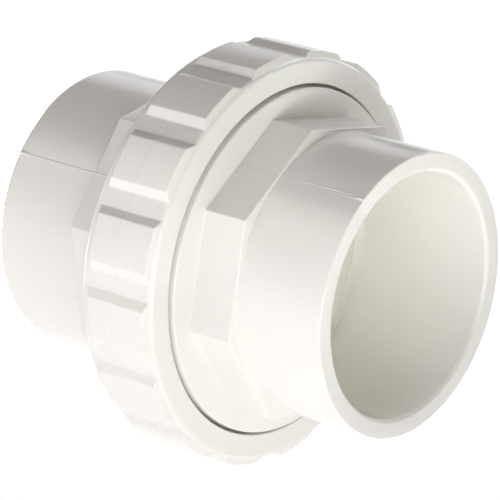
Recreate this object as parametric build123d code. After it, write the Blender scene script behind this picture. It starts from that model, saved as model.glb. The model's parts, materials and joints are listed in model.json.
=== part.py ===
from build123d import *
import math
import os

# Solvent-weld pipe union, nominal 2 inch size. All sizes in millimetres.
# The pipe axis is X, +Z is up, and the origin is on the axis at mid-length.
# +X points out of the end connector's socket. The thread is right-handed.
# Angles about X are measured from +Y towards +Z.

# Pipe sockets
TUBE_R = 35.0
SOCKET_R = 30.3
SOCKET_DEPTH = 38.0
LEAD_IN = 0.7
WATERWAY_R = 27.0
END_EDGE_R = 0.5

# Layout along the axis
OVERALL_LENGTH = 101.0
FLANGE_TO_FRONT_END = 37.4
BOSS_STANDS_PROUD = 0.9
NUT_LENGTH = 21.4
FRONT_END_X = OVERALL_LENGTH / 2
REAR_END_X = -OVERALL_LENGTH / 2
FLANGE_FACE_X = FRONT_END_X - FLANGE_TO_FRONT_END
NUT_FRONT_X = FLANGE_FACE_X - BOSS_STANDS_PROUD
NUT_REAR_X = NUT_FRONT_X - NUT_LENGTH

# Wrench octagons, each placed by the angle of one corner
OCTAGON_CORNER_R = 38.5
FRONT_OCTAGON_LENGTH = 12.2
FRONT_OCTAGON_CORNER_DEG = 10.1
FRONT_OCTAGON_END_X = FLANGE_FACE_X + FRONT_OCTAGON_LENGTH
REAR_OCTAGON_OUTSIDE_NUT = 15.7
REAR_OCTAGON_CORNER_DEG = 29.2
REAR_OCTAGON_END_X = NUT_REAR_X - REAR_OCTAGON_OUTSIDE_NUT

# Union nut
NUT_BODY_R = 50.4
NUT_FRONT_EDGE_R = 1.4
NUT_REAR_EDGE_R = 0.7
LIP_HOLE_R = 43.95
LIP_THICKNESS = 4.6
LIP_EDGE_R = 0.4

# Grip pads: raised blocks with sloping sides and ends
PAD_COUNT = 16
PAD_TOP_R = 52.0
PAD_FIRST_DEG = 4.7
PAD_TOP_HALF_DEG = 6.3
PAD_SIDE_BEVEL_DEG = 2.35
PAD_FRONT_INSET = 0.7
PAD_FRONT_BEVEL = 0.7
PAD_REAR_INSET = 1.8
PAD_REAR_BEVEL = 1.0
PAD_ROOT_DEPTH = 0.6

# End connector's flange: a boss inside the nut's lip and a shoulder behind it
BOSS_R = 43.15
BOSS_EDGE_R = 0.5
SHOULDER_R = 45.5
SHOULDER_THICKNESS = 4.6
FACE_GAP = 0.05
HEAD_INSIDE_NUT = 0.5

# Thread between the nut and the body, with 0.3 mm clear at root and crest
THREAD_PITCH = 4.0
THREAD_DEPTH = 1.4
THREAD_ROOT_WIDTH = 2.0
THREAD_CREST_WIDTH = 1.2
THREAD_ROOT_OVERLAP = 0.3
MALE_ROOT_R = 45.9
FEMALE_ROOT_R = 47.6
MALE_TURNS = 2.0
FEMALE_TURNS = 1.5
THREAD_END_MARGIN = 1.5
NUT_ENTRY_CHAMFER = 1.0

# O-ring, flattened in its groove while the joint is closed
SEAL_R = 38.0
GROOVE_WIDTH = 4.6
GROOVE_DEPTH = 2.6
RING_WIDTH = 4.0
RING_HEIGHT = GROOVE_DEPTH + FACE_GAP
RING_EDGE_R = 1.2

# How far solids run into or past each other before they are joined or cut
OVERLAP = 1.0

# Stations that follow from the sizes above
LIP_REAR_X = NUT_FRONT_X - LIP_THICKNESS
SHOULDER_FRONT_X = LIP_REAR_X - FACE_GAP
SEAL_FACE_X = SHOULDER_FRONT_X - SHOULDER_THICKNESS
BODY_FACE_X = SEAL_FACE_X - FACE_GAP
HEAD_REAR_X = NUT_REAR_X + HEAD_INSIDE_NUT
MALE_THREAD_X = HEAD_REAR_X + THREAD_END_MARGIN
FEMALE_THREAD_X = MALE_THREAD_X + THREAD_PITCH / 2


def revolved(points, rounded):
    """Solid of revolution about X from (x, r) corners; rounded lists (corner, radius)."""
    face = make_face(Polyline(*points, close=True))
    for (x, r), radius in rounded:
        corner = face.vertices().sort_by_distance((x, r, 0))[0]
        face = fillet(corner, radius)
    return revolve(face, Axis.X, 360)


def socket_points(end_x, inward):
    """(x, r) corners of one socket's mouth and stop, from the end's outer edge inwards."""
    return [
        (end_x, TUBE_R),
        (end_x, SOCKET_R + LEAD_IN),
        (end_x + inward * LEAD_IN, SOCKET_R),
        (end_x + inward * SOCKET_DEPTH, SOCKET_R),
        (end_x + inward * SOCKET_DEPTH, WATERWAY_R),
    ]


def prism(outline, x_low, x_high):
    """Extrude a (Y, Z) outline along X between two planes."""
    plane = Plane(origin=(x_low, 0, 0), x_dir=(0, 1, 0), z_dir=(1, 0, 0))
    return extrude(plane * outline, x_high - x_low)


def octagon(x_low, x_high, corner_deg):
    """Octagonal prism along X."""
    return prism(Rot(0, 0, corner_deg) * RegularPolygon(OCTAGON_CORNER_R, 8), x_low, x_high)


def thread_ridge(x_low, root_r, turns, outward):
    """Helical trapezoid ridge on a cylinder of radius root_r, its crest pointing out or in."""
    side = 1 if outward else -1
    helix = Helix(THREAD_PITCH, THREAD_PITCH * turns, root_r, center=(x_low, 0, 0), direction=(1, 0, 0))
    start = helix @ 0
    radial = Vector(0, start.Y, start.Z) * side
    slope = (THREAD_ROOT_WIDTH - THREAD_CREST_WIDTH) / (2 * THREAD_DEPTH)
    base_half = THREAD_ROOT_WIDTH / 2 + slope * THREAD_ROOT_OVERLAP
    crest_half = THREAD_CREST_WIDTH / 2
    outline = Polyline(
        (-THREAD_ROOT_OVERLAP, -base_half),
        (THREAD_DEPTH, -crest_half),
        (THREAD_DEPTH, crest_half),
        (-THREAD_ROOT_OVERLAP, base_half),
        close=True,
    )
    section = Plane(origin=start, x_dir=radial, z_dir=helix % 0) * make_face(outline)
    return sweep(section, path=helix, is_frenet=True)


def grip_pads():
    """The nut's raised pads: a ring with sloping ends, cut into blocks with sloping sides."""
    rear_foot = NUT_REAR_X + PAD_REAR_INSET
    front_foot = NUT_FRONT_X - PAD_FRONT_INSET
    root_r = NUT_BODY_R - PAD_ROOT_DEPTH
    ring = revolved(
        [
            (rear_foot, root_r),
            (rear_foot, NUT_BODY_R),
            (rear_foot + PAD_REAR_BEVEL, PAD_TOP_R),
            (front_foot - PAD_FRONT_BEVEL, PAD_TOP_R),
            (front_foot, NUT_BODY_R),
            (front_foot, root_r),
        ],
        [],
    )
    top = math.radians(PAD_TOP_HALF_DEG)
    foot = math.radians(PAD_TOP_HALF_DEG + PAD_SIDE_BEVEL_DEG)
    top_y, top_half = PAD_TOP_R * math.cos(top), PAD_TOP_R * math.sin(top)
    foot_y, foot_half = NUT_BODY_R * math.cos(foot), NUT_BODY_R * math.sin(foot)
    slope = (top_half - foot_half) / (top_y - foot_y)
    low_y, high_y = foot_y - 2 * PAD_ROOT_DEPTH, PAD_TOP_R + OVERLAP
    low_half = foot_half + slope * (low_y - foot_y)
    high_half = foot_half + slope * (high_y - foot_y)
    outline = make_face(
        Polyline((low_y, -low_half), (low_y, low_half), (high_y, high_half), (high_y, -high_half), close=True)
    )
    block = prism(outline, rear_foot - OVERLAP, front_foot + OVERLAP)
    pitch_deg = 360 / PAD_COUNT
    return [ring & (Rot(PAD_FIRST_DEG + pitch_deg * k, 0, 0) * block) for k in range(PAD_COUNT)]


def union_nut():
    """Loose nut: inner lip at the front, female thread behind it, grip pads outside."""
    shell = revolved(
        [
            (NUT_FRONT_X, LIP_HOLE_R),
            (NUT_FRONT_X, NUT_BODY_R),
            (NUT_REAR_X, NUT_BODY_R),
            (NUT_REAR_X, FEMALE_ROOT_R + NUT_ENTRY_CHAMFER),
            (NUT_REAR_X + NUT_ENTRY_CHAMFER, FEMALE_ROOT_R),
            (LIP_REAR_X, FEMALE_ROOT_R),
            (LIP_REAR_X, LIP_HOLE_R),
        ],
        [
            ((NUT_FRONT_X, NUT_BODY_R), NUT_FRONT_EDGE_R),
            ((NUT_REAR_X, NUT_BODY_R), NUT_REAR_EDGE_R),
            ((NUT_FRONT_X, LIP_HOLE_R), LIP_EDGE_R),
        ],
    )
    nut = shell + grip_pads()
    return nut + thread_ridge(FEMALE_THREAD_X, FEMALE_ROOT_R, FEMALE_TURNS, outward=False)


def end_connector():
    """Front end: socket, octagon and the flange that the nut's lip pulls on."""
    groove_bottom = SEAL_FACE_X + GROOVE_DEPTH
    groove_low, groove_high = SEAL_R - GROOVE_WIDTH / 2, SEAL_R + GROOVE_WIDTH / 2
    turned = revolved(
        [
            (SEAL_FACE_X, WATERWAY_R),
            (SEAL_FACE_X, groove_low),
            (groove_bottom, groove_low),
            (groove_bottom, groove_high),
            (SEAL_FACE_X, groove_high),
            (SEAL_FACE_X, SHOULDER_R),
            (SHOULDER_FRONT_X, SHOULDER_R),
            (SHOULDER_FRONT_X, BOSS_R),
            (FLANGE_FACE_X, BOSS_R),
            (FLANGE_FACE_X, TUBE_R),
            *socket_points(FRONT_END_X, -1),
        ],
        [
            ((FLANGE_FACE_X, BOSS_R), BOSS_EDGE_R),
            ((FRONT_END_X, TUBE_R), END_EDGE_R),
        ],
    )
    bore = revolved(
        [(0, 0), (0, SOCKET_R), (FRONT_OCTAGON_END_X, SOCKET_R), (FRONT_OCTAGON_END_X, 0)],
        [],
    )
    wrench = octagon(FLANGE_FACE_X - OVERLAP, FRONT_OCTAGON_END_X, FRONT_OCTAGON_CORNER_DEG)
    return turned + (wrench - bore)


def threaded_body():
    """Rear end: male thread and seal face, octagon and socket."""
    turned = revolved(
        [
            (BODY_FACE_X, WATERWAY_R),
            (BODY_FACE_X, MALE_ROOT_R),
            (HEAD_REAR_X, MALE_ROOT_R),
            (HEAD_REAR_X, TUBE_R),
            *socket_points(REAR_END_X, 1),
        ],
        [
            ((BODY_FACE_X, MALE_ROOT_R), END_EDGE_R),
            ((REAR_END_X, TUBE_R), END_EDGE_R),
        ],
    )
    bore = revolved(
        [(REAR_OCTAGON_END_X, 0), (REAR_OCTAGON_END_X, SOCKET_R), (0, SOCKET_R), (0, 0)],
        [],
    )
    wrench = octagon(REAR_OCTAGON_END_X, HEAD_REAR_X + OVERLAP, REAR_OCTAGON_CORNER_DEG)
    body = turned + (wrench - bore)
    return body + thread_ridge(MALE_THREAD_X, MALE_ROOT_R, MALE_TURNS, outward=True)


def o_ring():
    """Face seal, seated in the connector's groove and touching the body's face."""
    low_r, high_r = SEAL_R - RING_WIDTH / 2, SEAL_R + RING_WIDTH / 2
    high_x = BODY_FACE_X + RING_HEIGHT
    corners = [(BODY_FACE_X, low_r), (BODY_FACE_X, high_r), (high_x, high_r), (high_x, low_r)]
    return revolved(corners, [(corner, RING_EDGE_R) for corner in corners])


os.makedirs("parts", exist_ok=True)
for build in (union_nut, end_connector, threaded_body, o_ring):
    export_step(build(), f"parts/{build.__name__}.step")
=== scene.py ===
import json
import math

import bmesh
import bpy
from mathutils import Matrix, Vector


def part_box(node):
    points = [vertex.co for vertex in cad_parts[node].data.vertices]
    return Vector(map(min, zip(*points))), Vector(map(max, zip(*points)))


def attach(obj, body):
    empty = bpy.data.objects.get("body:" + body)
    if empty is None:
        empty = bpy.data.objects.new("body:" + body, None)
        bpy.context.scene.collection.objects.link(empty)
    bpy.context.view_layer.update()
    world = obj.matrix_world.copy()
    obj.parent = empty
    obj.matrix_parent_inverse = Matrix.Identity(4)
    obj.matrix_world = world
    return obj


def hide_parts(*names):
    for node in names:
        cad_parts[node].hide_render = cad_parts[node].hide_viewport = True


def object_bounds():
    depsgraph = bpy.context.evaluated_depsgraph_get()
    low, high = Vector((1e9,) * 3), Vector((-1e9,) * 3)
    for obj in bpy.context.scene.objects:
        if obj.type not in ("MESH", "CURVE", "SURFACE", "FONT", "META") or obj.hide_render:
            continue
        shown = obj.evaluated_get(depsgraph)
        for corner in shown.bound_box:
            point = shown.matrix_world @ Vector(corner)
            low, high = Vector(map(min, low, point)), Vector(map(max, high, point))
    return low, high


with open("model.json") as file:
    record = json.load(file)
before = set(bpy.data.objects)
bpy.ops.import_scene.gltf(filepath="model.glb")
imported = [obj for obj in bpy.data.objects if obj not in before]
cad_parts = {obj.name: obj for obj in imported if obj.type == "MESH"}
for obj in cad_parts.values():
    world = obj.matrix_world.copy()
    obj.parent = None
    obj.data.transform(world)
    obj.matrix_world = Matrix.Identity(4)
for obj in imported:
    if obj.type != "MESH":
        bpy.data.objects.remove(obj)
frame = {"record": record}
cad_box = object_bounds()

# A white PVC pipe union on a pale floor. Metres, with the pipe axis along X and +Z up.
# Profiles are (x, r) loops swept round the pipe axis. Angles run from +Y towards +Z.
MM = 0.001

# ---------------------------------------------------------------- sizes from the frame
CONNECTOR_LOW, CONNECTOR_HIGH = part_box("end_connector")
BODY_LOW, BODY_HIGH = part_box("threaded_body")
NUT_LOW, NUT_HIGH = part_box("union_nut")
RING_LOW, RING_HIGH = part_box("o_ring")
MOUNTS = {mount["name"]: mount for mount in frame["record"]["mounts"]}

FRONT_END_X = CONNECTOR_HIGH.x
SEAL_FACE_X = CONNECTOR_LOW.x
REAR_END_X = BODY_LOW.x
BODY_FACE_X = BODY_HIGH.x
NUT_FRONT_X = NUT_HIGH.x
NUT_REAR_X = NUT_LOW.x
PAD_TOP_R = NUT_HIGH.z
SOCKET_R = MOUNTS["front_socket"]["dims"]["r_mm"] * MM

# ---------------------------------------------------------------- design sizes
# Sockets and waterway
TUBE_R = 35.0 * MM
SOCKET_DEPTH = 38.0 * MM
LEAD_IN = 0.7 * MM
WATERWAY_R = 27.0 * MM

# Connector's flange: a boss inside the nut's lip and a shoulder behind it
FLANGE_TO_FRONT_END = 37.4 * MM
FLANGE_FACE_X = FRONT_END_X - FLANGE_TO_FRONT_END
BOSS_R = 43.15 * MM
BOSS_EDGE_R = 0.5 * MM
SHOULDER_R = 45.5 * MM
LIP_THICKNESS = 4.6 * MM
FACE_GAP = 0.05 * MM
SHOULDER_FRONT_X = NUT_FRONT_X - LIP_THICKNESS - FACE_GAP
SEAL_R = 38.0 * MM
GROOVE_WIDTH = 4.6 * MM
GROOVE_DEPTH = 2.6 * MM

# O-ring, flattened in its groove
RING_HALF_WIDTH = 2.0 * MM
RING_SQUARENESS = 2.6
RING_POINTS = 32

# Wrench octagons, each placed by the angle of one corner
OCTAGON_PITCH_DEG = 45
OCTAGON_CORNER_R = 38.5 * MM
OCTAGON_FILLET_R = 0.45 * MM
FRONT_OCTAGON_LENGTH = 12.2 * MM
FRONT_OCTAGON_END_X = FLANGE_FACE_X + FRONT_OCTAGON_LENGTH
FRONT_OCTAGON_CORNER_DEG = 10.1
REAR_OCTAGON_OUTSIDE_NUT = 15.7 * MM
REAR_OCTAGON_END_X = NUT_REAR_X - REAR_OCTAGON_OUTSIDE_NUT
REAR_OCTAGON_CORNER_DEG = 29.2
HEAD_INSIDE_NUT = 0.5 * MM
HEAD_REAR_X = NUT_REAR_X + HEAD_INSIDE_NUT

# Union nut and its grip pads
NUT_BODY_R = 50.4 * MM
NUT_FRONT_EDGE_R = 1.4 * MM
NUT_REAR_EDGE_R = 0.7 * MM
NUT_ENTRY_CHAMFER = 1.0 * MM
LIP_HOLE_R = 43.95 * MM
PAD_COUNT = 16
PAD_PITCH_DEG = 360 / PAD_COUNT
PAD_FIRST_DEG = 4.7
PAD_TOP_HALF_DEG = 6.3
PAD_SIDE_BEVEL_DEG = 2.35
PAD_FRONT_INSET = 0.7 * MM
PAD_FRONT_BEVEL = 0.7 * MM
PAD_REAR_INSET = 1.8 * MM
PAD_REAR_BEVEL = 1.0 * MM
PAD_FRONT_FOOT_X = NUT_FRONT_X - PAD_FRONT_INSET
PAD_REAR_FOOT_X = NUT_REAR_X + PAD_REAR_INSET
# Blends on a pad, as shares of its height: where two slopes meet, and at their foot and top
HIP_BLEND = 0.08
EDGE_BLEND = 0.10
# Where vertices lie on a pad's end and side slopes: 0 is the foot of the slope and 1 its top
END_SLOPE_SHARES = (-0.25, -0.1, 0, 0.1, 0.2, 0.5, 0.8, 0.9, 1, 1.1, 1.25)
SIDE_SLOPE_SHARES = (-0.2, -0.1, 0, 0.1, 0.2, 0.5, 0.8, 0.9, 1, 1.1, 1.2)
# Further vertices on a pad's flat top and in the valley beside it, as angles from the pad's middle
PAD_TOP_STEPS_DEG = (1.45, 2.9, 4.4)
VALLEY_STEP_DEG = 9.9

# Thread between the nut and the body
THREAD_PITCH = 4.0 * MM
THREAD_DEPTH = 1.4 * MM
THREAD_ROOT_WIDTH = 2.0 * MM
THREAD_CREST_WIDTH = 1.2 * MM
THREAD_BED = 0.3 * MM
LARGEST_EDGE_SHARE = 0.4
THREAD_STEPS_PER_TURN = 120
# Each end of a thread rises over about this angle, from this share of the full depth
RUN_OUT_ANGLE = math.radians(20)
RUN_OUT_LOWEST = 0.08
MALE_ROOT_R = 45.9 * MM
MALE_TURNS = 2.0
FEMALE_ROOT_R = 47.6 * MM
FEMALE_TURNS = 1.5
THREAD_END_MARGIN = 1.5 * MM
MALE_THREAD_X = HEAD_REAR_X + THREAD_END_MARGIN
FEMALE_THREAD_X = MALE_THREAD_X + THREAD_PITCH / 2

# How far each rounded edge starts before its corner
EDGE_CRISP = 0.15 * MM
EDGE_FINE = 0.25 * MM
EDGE_SOFT = 0.3 * MM
EDGE_ROUND = 0.4 * MM
EDGE_FULL = 0.5 * MM

# Mould parting lines: a fine groove and a low ridge side by side, deeper on one piece, higher on the other
FRONT_GROOVE_DEPTH = 0.10 * MM
FRONT_RIDGE_HEIGHT = 0.03 * MM
REAR_GROOVE_DEPTH = 0.02 * MM
REAR_RIDGE_HEIGHT = 0.10 * MM
PARTING_OFFSET = 0.18 * MM
PARTING_HALF_WIDTH = 0.18 * MM
PARTING_FROM_CORNER_DEG = 112.5
FRONT_PARTING_DEG = FRONT_OCTAGON_CORNER_DEG + PARTING_FROM_CORNER_DEG
REAR_PARTING_DEG = REAR_OCTAGON_CORNER_DEG + PARTING_FROM_CORNER_DEG
# Nib of flash where a parting line meets the socket's mouth
FLASH_HEIGHT = 0.5 * MM
FLASH_LENGTH = 2.4 * MM
FLASH_HALF_WIDTH = 0.4 * MM
FLASH_LEFT_AT_MOUTH = 0.15
# Worn mould ridge round the middle of the nut
NUT_RIDGE_HEIGHT = 0.12 * MM
NUT_RIDGE_HALF_WIDTH = 0.2 * MM
NUT_RIDGE_FROM_REAR = 10.3 * MM
NUT_RIDGE_X = NUT_REAR_X + NUT_RIDGE_FROM_REAR

# Mesh fineness
FEWEST_EDGE_STEPS = 3
EDGE_STEP = 0.2 * MM
LONGEST_SPAN = 3 * MM
SEAL_STEP_DEG = 3
END_STEP_DEG = 1.5
SHARP_ANGLE = math.radians(35)

# Colours of the plastic and the rubber, each with the colour of its faint clouds
PVC_WHITE = (0.855, 0.832, 0.788)
PVC_SHADE = (0.835, 0.812, 0.763)
RUBBER_DARK = (0.012, 0.012, 0.013)
RUBBER_BLOOM = (0.03, 0.03, 0.031)

# Studio, in metres and degrees
FLOOR_SIZE = 60
FLOOR_GLOW = 0.83
FLOOR_LIGHT_LIFT = 1 * MM
WORLD_GREY = 0.01
CAMERA_AZIMUTH = 39.63
CAMERA_ELEVATION = 20.30
CAMERA_DISTANCE = 0.875
CAMERA_LENS_MM = 258.9
CAMERA_SENSOR_MM = 36
CAMERA_TARGET = Vector((5.8, -6.3, 3.0)) * MM


# ---------------------------------------------------------------- mesh helpers
def soften(corners, steps=None):
    """Round each (x, r, soft) corner from soft before it to soft after it; 0 leaves it sharp."""
    points = []
    count = len(corners)
    for i, (x, r, soft) in enumerate(corners):
        here = Vector((x, r))
        if soft == 0:
            points.append(here)
            continue
        before = Vector(corners[i - 1][:2]) - here
        after = Vector(corners[(i + 1) % count][:2]) - here
        start = here + before.normalized() * soft
        end = here + after.normalized() * soft
        parts = steps or FEWEST_EDGE_STEPS + round(soft / EDGE_STEP)
        for k in range(parts + 1):
            t = k / parts
            points.append((1 - t) ** 2 * start + 2 * t * (1 - t) * here + t * t * end)
    return points


def fill_counts(points):
    """How many points each span of a closed loop needs between its ends."""
    spans = zip(points, points[1:] + points[:1])
    return [max(0, math.ceil((b - a).length / LONGEST_SPAN) - 1) for a, b in spans]


def filled(points, counts):
    """The loop with evenly spaced points added on its long spans."""
    result = []
    for i, a in enumerate(points):
        b = points[(i + 1) % len(points)]
        result.append(a)
        result += [a.lerp(b, (k + 1) / (counts[i] + 1)) for k in range(counts[i])]
    return result


def finished(name, bm):
    """Turn a bmesh into a smooth-shaded object with outward normals."""
    bmesh.ops.recalc_face_normals(bm, faces=bm.faces)
    mesh = bpy.data.meshes.new(name)
    bm.to_mesh(mesh)
    bm.free()
    mesh.shade_smooth()
    mesh.set_sharp_from_angle(angle=SHARP_ANGLE)
    piece = bpy.data.objects.new(name, mesh)
    bpy.context.scene.collection.objects.link(piece)
    return piece


def bridge(bm, a, b):
    """Faces between two closed loops of vertices, each joined to its match."""
    for j in range(len(a)):
        k = (j + 1) % len(a)
        bm.faces.new((a[j], a[k], b[k], b[j]))


def lathe(name, profile, angles):
    """Closed skin through profile(angle) at each angle, joined all the way round the pipe axis."""
    counts = fill_counts(soften(profile(angles[0])))
    bm = bmesh.new()
    rings = []
    for degrees in angles:
        c, s = math.cos(math.radians(degrees)), math.sin(math.radians(degrees))
        loop = filled(soften(profile(degrees)), counts)
        rings.append([bm.verts.new((p.x, p.y * c, p.y * s)) for p in loop])
    for ring, beyond in zip(rings, rings[1:] + rings[:1]):
        bridge(bm, ring, beyond)
    return finished(name, bm)


def joined_solid(piece, other):
    """Exact union of the piece with the other, which is then removed."""
    union = piece.modifiers.new("union", "BOOLEAN")
    union.operation = "UNION"
    union.solver = "EXACT"
    union.object = other
    view = bpy.context.evaluated_depsgraph_get()
    mesh = bpy.data.meshes.new_from_object(piece.evaluated_get(view))
    piece.modifiers.clear()
    piece.data = mesh
    mesh.shade_smooth()
    mesh.set_sharp_from_angle(angle=SHARP_ANGLE)
    bpy.data.objects.remove(other)
    return piece


# ---------------------------------------------------------------- angles and small shapes
def nearest_turn(degrees, centre, pitch):
    """Signed angle from the nearest of centre, centre + pitch, centre + 2 pitch and so on."""
    return (degrees - centre + pitch / 2) % pitch - pitch / 2


def mirrored(*offsets):
    """The rising offsets on both sides of zero, with zero between."""
    return [-offset for offset in reversed(offsets)] + [0, *offsets]


def angle_list(step, clusters):
    """Evenly spaced angles, with a tight cluster in place of those near each listed centre."""
    angles = {round(360 * k / round(360 / step), 4) for k in range(round(360 / step))}
    for centre, offsets in clusters:
        reach = max(offsets) + 0.1
        angles = {a for a in angles if abs(nearest_turn(a, centre, 360)) > reach}
        angles |= {round((centre + offset) % 360, 4) for offset in offsets}
    return sorted(angles)


def hump(distance, half_width):
    """1 at no distance, falling on a parabola to 0 at half_width and beyond."""
    return max(0.0, 1 - (distance / half_width) ** 2)


def soft_above(value, blend):
    """value where it is above zero, zero below, with a smooth turn between."""
    if value <= -blend:
        return 0.0
    if value >= blend:
        return value
    return (value + blend) ** 2 / (4 * blend)


def octagon_radius(degrees, corner_deg):
    """Distance from the axis to an octagon with slightly rounded corners."""
    half = math.radians(OCTAGON_PITCH_DEG / 2)
    apothem = OCTAGON_CORNER_R * math.cos(half)
    turn = math.radians(nearest_turn(degrees, corner_deg, OCTAGON_PITCH_DEG))
    centre = (apothem - OCTAGON_FILLET_R) / math.cos(half)
    tangent = math.atan2(OCTAGON_FILLET_R * math.sin(half), centre + OCTAGON_FILLET_R * math.cos(half))
    if abs(turn) < tangent:
        return centre * math.cos(turn) + math.sqrt(OCTAGON_FILLET_R**2 - (centre * math.sin(turn)) ** 2)
    return apothem / math.cos(half - abs(turn))


def across_parting(degrees, parting_deg):
    """Distance round the tube from the nearer of the two opposite parting lines."""
    return math.radians(nearest_turn(degrees, parting_deg, 180)) * TUBE_R


def parting_line(degrees, parting_deg, ridge_height, groove_depth):
    """Rise or fall of the surface at the two opposite parting lines, at this angle."""
    across = across_parting(degrees, parting_deg)
    ridge = hump(across - PARTING_OFFSET, PARTING_HALF_WIDTH)
    groove = hump(across + PARTING_OFFSET, PARTING_HALF_WIDTH)
    return ridge_height * ridge - groove_depth * groove


def mouth_flash(degrees, parting_deg):
    """Height of the nib of flash where a parting line meets the socket's mouth."""
    return FLASH_HEIGHT * hump(across_parting(degrees, parting_deg), FLASH_HALF_WIDTH)


def end_angles(corner_deg, parting_deg):
    """Angles for a moulded end: close together at octagon corners and parting lines."""
    corner = mirrored(0.15, 0.3, 0.45)
    line = mirrored(0.1, 0.2, 0.3, 0.4, 0.5, 0.59, 0.9)
    clusters = [(corner_deg + OCTAGON_PITCH_DEG * k, corner) for k in range(8)]
    clusters += [(parting_deg, line), (parting_deg + 180, line)]
    return angle_list(END_STEP_DEG, clusters)


def thread_section(height):
    """Outline of the thread ridge at this height, as (along, up, soft) corners from the wall's surface."""
    slope = (THREAD_ROOT_WIDTH - THREAD_CREST_WIDTH) / (2 * THREAD_DEPTH)
    crest_half = THREAD_CREST_WIDTH / 2 + slope * (THREAD_DEPTH - height)
    base_half = THREAD_ROOT_WIDTH / 2 + slope * THREAD_BED
    edge = min(EDGE_FINE, height * LARGEST_EDGE_SHARE)
    return [
        (-base_half, -THREAD_BED, 0),
        (-crest_half, height, edge),
        (crest_half, height, edge),
        (base_half, -THREAD_BED, 0),
    ]


def thread_ridge(name, x_low, root_r, turns, outward):
    """Closed helical ridge that runs out at both ends and is bedded in the wall."""
    side = 1 if outward else -1
    steps = round(turns * THREAD_STEPS_PER_TURN)
    whole_turn = 2 * math.pi * turns
    bm = bmesh.new()
    sections = []
    for i in range(steps + 1):
        turn = whole_turn * i / steps
        from_end = min(turn, whole_turn - turn)
        height = THREAD_DEPTH * min(1.0, RUN_OUT_LOWEST + from_end / RUN_OUT_ANGLE)
        middle = x_low + THREAD_PITCH * turn / (2 * math.pi)
        c, s = math.cos(turn), math.sin(turn)
        section = []
        for p in soften(thread_section(height), steps=3):
            r = root_r + side * p.y
            section.append(bm.verts.new((middle + p.x, r * c, r * s)))
        sections.append(section)
    for a, b in zip(sections, sections[1:]):
        bridge(bm, a, b)
    bm.faces.new(sections[0])
    bm.faces.new(sections[-1])
    return finished(name, bm)


# ---------------------------------------------------------------- profiles of the four pieces
def socket_corners(end_x, inward, line, flash):
    """Profile corners of one socket, from the tube's outer edge to the waterway."""
    return [
        (end_x + inward * FLASH_LENGTH, TUBE_R + line, 0),
        (end_x + inward * FLASH_LENGTH / 2, TUBE_R + line + flash, 0),
        (end_x, TUBE_R + line + flash * FLASH_LEFT_AT_MOUTH, EDGE_ROUND),
        (end_x, SOCKET_R + LEAD_IN, EDGE_SOFT),
        (end_x + inward * LEAD_IN, SOCKET_R, EDGE_SOFT),
        (end_x + inward * SOCKET_DEPTH, SOCKET_R, EDGE_FINE),
        (end_x + inward * SOCKET_DEPTH, WATERWAY_R, EDGE_SOFT),
    ]


def connector_profile(degrees):
    """End connector: seal groove, shoulder, boss, octagon and socket."""
    line = parting_line(degrees, FRONT_PARTING_DEG, FRONT_RIDGE_HEIGHT, FRONT_GROOVE_DEPTH)
    octagon_r = octagon_radius(degrees, FRONT_OCTAGON_CORNER_DEG) + line
    groove_low, groove_high = SEAL_R - GROOVE_WIDTH / 2, SEAL_R + GROOVE_WIDTH / 2
    groove_x = SEAL_FACE_X + GROOVE_DEPTH
    return [
        (SEAL_FACE_X, WATERWAY_R, EDGE_FINE),
        (SEAL_FACE_X, groove_low, EDGE_CRISP),
        (groove_x, groove_low, EDGE_SOFT),
        (groove_x, groove_high, EDGE_SOFT),
        (SEAL_FACE_X, groove_high, EDGE_CRISP),
        (SEAL_FACE_X, SHOULDER_R, EDGE_ROUND),
        (SHOULDER_FRONT_X, SHOULDER_R, EDGE_ROUND),
        (SHOULDER_FRONT_X, BOSS_R, EDGE_FINE),
        (FLANGE_FACE_X, BOSS_R, BOSS_EDGE_R),
        (FLANGE_FACE_X, octagon_r, EDGE_FINE),
        (FRONT_OCTAGON_END_X, octagon_r, EDGE_FINE),
        (FRONT_OCTAGON_END_X, TUBE_R + line, EDGE_FINE),
        *socket_corners(FRONT_END_X, -1, line, mouth_flash(degrees, FRONT_PARTING_DEG)),
    ]


def body_profile(degrees):
    """Threaded body: the head that carries the thread, octagon and socket."""
    line = parting_line(degrees, REAR_PARTING_DEG, REAR_RIDGE_HEIGHT, REAR_GROOVE_DEPTH)
    octagon_r = octagon_radius(degrees, REAR_OCTAGON_CORNER_DEG) + line
    return [
        (BODY_FACE_X, WATERWAY_R, EDGE_FINE),
        (BODY_FACE_X, MALE_ROOT_R, EDGE_FULL),
        (HEAD_REAR_X, MALE_ROOT_R, EDGE_ROUND),
        (HEAD_REAR_X, octagon_r, EDGE_FINE),
        (REAR_OCTAGON_END_X, octagon_r, EDGE_FINE),
        (REAR_OCTAGON_END_X, TUBE_R + line, EDGE_FINE),
        *socket_corners(REAR_END_X, 1, line, mouth_flash(degrees, REAR_PARTING_DEG)),
    ]


def pad_rise(x, degrees):
    """How far a grip pad stands above the nut's wall here, from 0 to 1."""
    aside = abs(nearest_turn(degrees, PAD_FIRST_DEG, PAD_PITCH_DEG))
    side = (PAD_TOP_HALF_DEG + PAD_SIDE_BEVEL_DEG - aside) / PAD_SIDE_BEVEL_DEG
    rear = (x - PAD_REAR_FOOT_X) / PAD_REAR_BEVEL
    front = (PAD_FRONT_FOOT_X - x) / PAD_FRONT_BEVEL
    end = min(rear, front)
    slope = side - soft_above(side - end, HIP_BLEND)
    raised = soft_above(slope, EDGE_BLEND)
    return 1 - soft_above(1 - raised, EDGE_BLEND)


def ridge_wear(degrees):
    """How much of the nut's mould ridge is left here, from about 0.4 to 1."""
    turn = math.radians(degrees)
    return 0.7 + 0.18 * math.sin(5 * turn + 0.7) + 0.12 * math.sin(13 * turn + 2.1)


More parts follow.
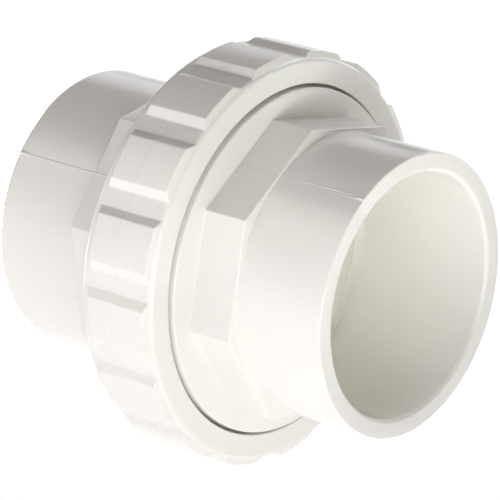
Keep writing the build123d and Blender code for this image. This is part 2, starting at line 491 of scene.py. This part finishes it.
def nut_wall_r(x):
    """Radius of the nut's wall under its pads, rounded at the front edge."""
    into_edge = x - (NUT_FRONT_X - NUT_FRONT_EDGE_R)
    if into_edge <= 0:
        return NUT_BODY_R
    return NUT_BODY_R - NUT_FRONT_EDGE_R + math.sqrt(max(0.0, NUT_FRONT_EDGE_R**2 - into_edge**2))


def nut_stations():
    """x positions along the nut's outside, close together at pad bevels, mould ridge and front edge."""
    rear = [PAD_REAR_FOOT_X + PAD_REAR_BEVEL * share for share in END_SLOPE_SHARES]
    front = [PAD_FRONT_FOOT_X - PAD_FRONT_BEVEL * share for share in reversed(END_SLOPE_SHARES)]
    ridge = [NUT_RIDGE_X + NUT_RIDGE_HALF_WIDTH * share for share in mirrored(0.3, 0.6, 1, 1.5)]
    spans = [(rear[-1], ridge[0]), (ridge[-1], front[0])]
    between = [a + (b - a) * k / 4 for a, b in spans for k in (1, 2, 3)]
    turns = [math.radians(degrees) for degrees in (15, 30, *range(42, 91, 12))]
    edge = [NUT_FRONT_X - NUT_FRONT_EDGE_R * (1 - math.cos(turn)) for turn in turns]
    return sorted(rear + front + ridge + between + edge, reverse=True)


def nut_profile(degrees):
    """Union nut: lip, outside with pads and mould ridge, and threaded bore."""
    outside = []
    for x in nut_stations():
        ridge = NUT_RIDGE_HEIGHT * ridge_wear(degrees) * hump(x - NUT_RIDGE_X, NUT_RIDGE_HALF_WIDTH)
        wall_r = nut_wall_r(x)
        pad = (PAD_TOP_R - NUT_RIDGE_HEIGHT - wall_r) * pad_rise(x, degrees)
        outside.append((x, wall_r + pad + ridge, 0))
    lip_rear_x = NUT_FRONT_X - LIP_THICKNESS
    return [
        (NUT_FRONT_X, LIP_HOLE_R, EDGE_ROUND),
        (NUT_FRONT_X, NUT_BODY_R - NUT_FRONT_EDGE_R, 0),
        *outside,
        (NUT_REAR_X, NUT_BODY_R, NUT_REAR_EDGE_R),
        (NUT_REAR_X, FEMALE_ROOT_R + NUT_ENTRY_CHAMFER, EDGE_SOFT),
        (NUT_REAR_X + NUT_ENTRY_CHAMFER, FEMALE_ROOT_R, EDGE_SOFT),
        (lip_rear_x, FEMALE_ROOT_R, EDGE_FULL),
        (lip_rear_x, LIP_HOLE_R, EDGE_SOFT),
    ]


def nut_angles():
    """Angles round the nut, close together at the edges of each pad's sloping sides."""
    foot = PAD_TOP_HALF_DEG + PAD_SIDE_BEVEL_DEG
    side = [foot - PAD_SIDE_BEVEL_DEG * share for share in reversed(SIDE_SLOPE_SHARES)]
    offsets = mirrored(*PAD_TOP_STEPS_DEG, *side, VALLEY_STEP_DEG) + [PAD_PITCH_DEG / 2]
    centres = [PAD_FIRST_DEG + PAD_PITCH_DEG * k for k in range(PAD_COUNT)]
    return sorted({round((centre + offset) % 360, 4) for centre in centres for offset in offsets})


def ring_profile(degrees):
    """O-ring section, the same at every angle: a circle squared off by its groove and the body's face."""
    middle_x = (RING_LOW.x + RING_HIGH.x) / 2
    half_x = (RING_HIGH.x - RING_LOW.x) / 2
    outline = []
    for k in range(RING_POINTS):
        turn = 2 * math.pi * k / RING_POINTS
        c, s = math.cos(turn), math.sin(turn)
        reach = (abs(c) ** RING_SQUARENESS + abs(s) ** RING_SQUARENESS) ** (-1 / RING_SQUARENESS)
        outline.append((middle_x + half_x * reach * c, SEAL_R + RING_HALF_WIDTH * reach * s, 0))
    return outline


# ---------------------------------------------------------------- materials
def material(name):
    """New node material; returns it with its tree, shader and object coordinates."""
    made = bpy.data.materials.new(name)
    made.use_nodes = True
    tree = made.node_tree
    shader = tree.nodes["Principled BSDF"]
    coordinates = tree.nodes.new("ShaderNodeTexCoord").outputs["Object"]
    return made, tree, shader, coordinates


def noise(tree, vector, scale, detail=3.0, stretch=(1, 1, 1)):
    """Noise factor at a scale in features per metre, optionally stretched."""
    mapping = tree.nodes.new("ShaderNodeMapping")
    mapping.inputs["Scale"].default_value = stretch
    texture = tree.nodes.new("ShaderNodeTexNoise")
    texture.inputs["Scale"].default_value = scale
    texture.inputs["Detail"].default_value = detail
    tree.links.new(vector, mapping.inputs["Vector"])
    tree.links.new(mapping.outputs["Vector"], texture.inputs["Vector"])
    return texture.outputs["Fac"]


def ramp(tree, factor, low, high, start=0.35, end=0.65):
    """Colour between low and high as factor goes from start to end."""
    node = tree.nodes.new("ShaderNodeValToRGB")
    node.color_ramp.elements[0].position = start
    node.color_ramp.elements[0].color = (*low, 1)
    node.color_ramp.elements[1].position = end
    node.color_ramp.elements[1].color = (*high, 1)
    tree.links.new(factor, node.inputs["Fac"])
    return node.outputs["Color"]


def span(tree, factor, low, high):
    """Number between low and high as factor goes from 0.3 to 0.7."""
    node = tree.nodes.new("ShaderNodeMapRange")
    node.inputs["From Min"].default_value = 0.3
    node.inputs["From Max"].default_value = 0.7
    node.inputs["To Min"].default_value = low
    node.inputs["To Max"].default_value = high
    tree.links.new(factor, node.inputs["Value"])
    return node.outputs["Result"]


def bump(tree, height, distance, strength, below=None):
    """Bump from a height factor, stacked on another bump's normal."""
    node = tree.nodes.new("ShaderNodeBump")
    node.inputs["Distance"].default_value = distance
    node.inputs["Strength"].default_value = strength
    tree.links.new(height, node.inputs["Height"])
    if below:
        tree.links.new(below, node.inputs["Normal"])
    return node.outputs["Normal"]


def moulded_pvc(name, seed):
    """Glossy white PVC: faint clouds drawn out along the pipe, slight waves and grain, uneven gloss."""
    made, tree, shader, coordinates = material(name)
    shift = tree.nodes.new("ShaderNodeMapping")
    shift.inputs["Location"].default_value = (seed, seed * 0.7, seed * 1.3)
    tree.links.new(coordinates, shift.inputs["Vector"])
    shifted = shift.outputs["Vector"]
    cloud = noise(tree, shifted, scale=38, stretch=(0.6, 1.4, 1.4))
    tree.links.new(ramp(tree, cloud, PVC_SHADE, PVC_WHITE), shader.inputs["Base Color"])
    gloss = noise(tree, shifted, scale=120)
    tree.links.new(span(tree, gloss, 0.17, 0.24), shader.inputs["Roughness"])
    wave = bump(tree, noise(tree, shifted, scale=60, detail=1), distance=0.12 * MM, strength=0.3)
    speckle = noise(tree, shifted, scale=600, detail=1)
    grain = bump(tree, speckle, distance=0.01 * MM, strength=0.3, below=wave)
    tree.links.new(grain, shader.inputs["Normal"])
    shader.inputs["IOR"].default_value = 1.53
    return made


def seal_rubber():
    """Dull black rubber with a soft bloom and a fine grain."""
    made, tree, shader, coordinates = material("seal_rubber_black")
    bloom = noise(tree, coordinates, scale=90, detail=4)
    tree.links.new(ramp(tree, bloom, RUBBER_DARK, RUBBER_BLOOM), shader.inputs["Base Color"])
    tree.links.new(span(tree, bloom, 0.5, 0.68), shader.inputs["Roughness"])
    grain = bump(tree, noise(tree, coordinates, scale=1500), distance=0.03 * MM, strength=0.5)
    tree.links.new(grain, shader.inputs["Normal"])
    shader.inputs["IOR"].default_value = 1.5
    return made


# ---------------------------------------------------------------- the four pieces
def place(piece, body, node, finish):
    """Give a piece its material and its body, and hide the CAD node that it stands for."""
    piece.data.materials.clear()
    piece.data.materials.append(finish)
    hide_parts(node)
    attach(piece, body)


def end_connector():
    angles = end_angles(FRONT_OCTAGON_CORNER_DEG, FRONT_PARTING_DEG)
    piece = lathe("connector_moulding", connector_profile, angles)
    place(piece, "end_connector", "end_connector", moulded_pvc("pvc_connector", 1.0))


def threaded_body():
    angles = end_angles(REAR_OCTAGON_CORNER_DEG, REAR_PARTING_DEG)
    piece = lathe("body_moulding", body_profile, angles)
    male = thread_ridge("male_thread", MALE_THREAD_X, MALE_ROOT_R, MALE_TURNS, outward=True)
    joined_solid(piece, male)
    place(piece, "threaded_body", "threaded_body", moulded_pvc("pvc_body", 2.0))


def union_nut():
    piece = lathe("nut_moulding", nut_profile, nut_angles())
    female = thread_ridge("female_thread", FEMALE_THREAD_X, FEMALE_ROOT_R, FEMALE_TURNS, outward=False)
    joined_solid(piece, female)
    place(piece, "union_nut", "union_nut", moulded_pvc("pvc_nut", 3.0))


def seal_ring():
    piece = lathe("seal_ring", ring_profile, range(0, 360, SEAL_STEP_DEG))
    place(piece, "seal_carrier", "o_ring", seal_rubber())


end_connector()
threaded_body()
union_nut()
seal_ring()


# ---------------------------------------------------------------- floor, light and camera
def direction(azimuth, elevation):
    a, e = math.radians(azimuth), math.radians(elevation)
    return Vector((math.sin(a) * math.cos(e), -math.cos(a) * math.cos(e), math.sin(e)))


def floor():
    """Large pale floor that glows evenly, as a light table does."""
    bpy.ops.mesh.primitive_plane_add(size=FLOOR_SIZE, location=(0, 0, cad_box[0].z))
    plane = bpy.context.object
    plane.name = "floor"
    made, tree, shader, coordinates = material("floor_pale")
    shade = ramp(tree, noise(tree, coordinates, scale=3, detail=2), (0.30, 0.30, 0.30), (0.32, 0.32, 0.32))
    tree.links.new(shade, shader.inputs["Base Color"])
    shader.inputs["Roughness"].default_value = 0.9
    shader.inputs["Emission Color"].default_value = (1, 1, 1, 1)
    shader.inputs["Emission Strength"].default_value = FLOOR_GLOW
    plane.data.materials.append(made)


def area_light(name, shape, width, height, power, colour, back):
    """Area light, unseen by the camera, whose back faces along back; power is in watts."""
    light = bpy.data.lights.new(name, "AREA")
    light.shape = shape
    light.size = width
    light.size_y = height
    light.energy = power
    light.color = colour
    lamp = bpy.data.objects.new(name, light)
    bpy.context.scene.collection.objects.link(lamp)
    lamp.rotation_mode = "QUATERNION"
    lamp.rotation_quaternion = back.to_track_quat("Z", "Y")
    lamp.visible_camera = False
    return lamp


def softbox(name, azimuth, elevation, distance, width, height, power, colour):
    """Rectangular light aimed at the object's middle."""
    back = direction(azimuth, elevation)
    lamp = area_light(name, "RECTANGLE", width, height, power, colour, back)
    lamp.location = back * distance


def floor_light(name, azimuth, distance, width, power, colour):
    """Round light just above the floor that shines down on it and makes a bright patch."""
    a = math.radians(azimuth)
    lamp = area_light(name, "DISK", width, width, power, colour, Vector((0, 0, 1)))
    lamp.location = (math.sin(a) * distance, -math.cos(a) * distance, cad_box[0].z + FLOOR_LIGHT_LIFT)


def studio():
    """Softboxes round the object, bright patches of floor and a nearly black surround."""
    softbox("key_left", -35, 14, 1.2, 0.9, 0.6, 1.3, (0.91, 0.92, 1.0))
    softbox("key_high", -35, 45, 1.2, 0.9, 0.6, 3.3, (1.0, 0.98, 0.93))
    softbox("key_right", 55, 14, 1.2, 0.9, 0.6, 2.5, (1.0, 1.0, 0.88))
    softbox("front_card", 30, 1, 0.45, 0.22, 0.09, 0.50, (0.92, 0.86, 1.0))
    softbox("back_left", -125, 16, 1.2, 0.9, 0.5, 1.9, (0.94, 0.92, 1.0))
    softbox("back", -170, 16, 1.2, 0.9, 0.5, 4.2, (0.96, 1.0, 0.98))
    softbox("back_high", 175, 42, 1.2, 0.7, 0.35, 5.3, (0.97, 0.96, 1.0))
    floor_light("floor_left", -75, 0.75, 0.5, 42, (1.0, 0.85, 0.75))
    floor_light("floor_rear", -105, 0.25, 0.2, 9.9, (0.89, 1.0, 0.83))
    floor_light("floor_right", 55, 0.45, 0.3, 7.9, (0.92, 1.0, 0.93))
    world = bpy.data.worlds.new("studio")
    world.use_nodes = True
    surround = world.node_tree.nodes["Background"]
    surround.inputs["Color"].default_value = (WORLD_GREY, WORLD_GREY, WORLD_GREY, 1)
    bpy.context.scene.world = world
    bpy.context.scene.view_settings.view_transform = "Standard"


def camera():
    """Long lens that looks down from between -Y and +X, so the connector's end is the nearer one."""
    back = direction(CAMERA_AZIMUTH, CAMERA_ELEVATION)
    lens = bpy.data.cameras.new("camera")
    lens.lens = CAMERA_LENS_MM
    lens.sensor_width = CAMERA_SENSOR_MM
    seen_from = bpy.data.objects.new("camera", lens)
    bpy.context.scene.collection.objects.link(seen_from)
    seen_from.location = CAMERA_TARGET + back * CAMERA_DISTANCE
    seen_from.rotation_mode = "QUATERNION"
    seen_from.rotation_quaternion = (-back).to_track_quat("-Z", "Y")
    bpy.context.scene.camera = seen_from


floor()
studio()
camera()
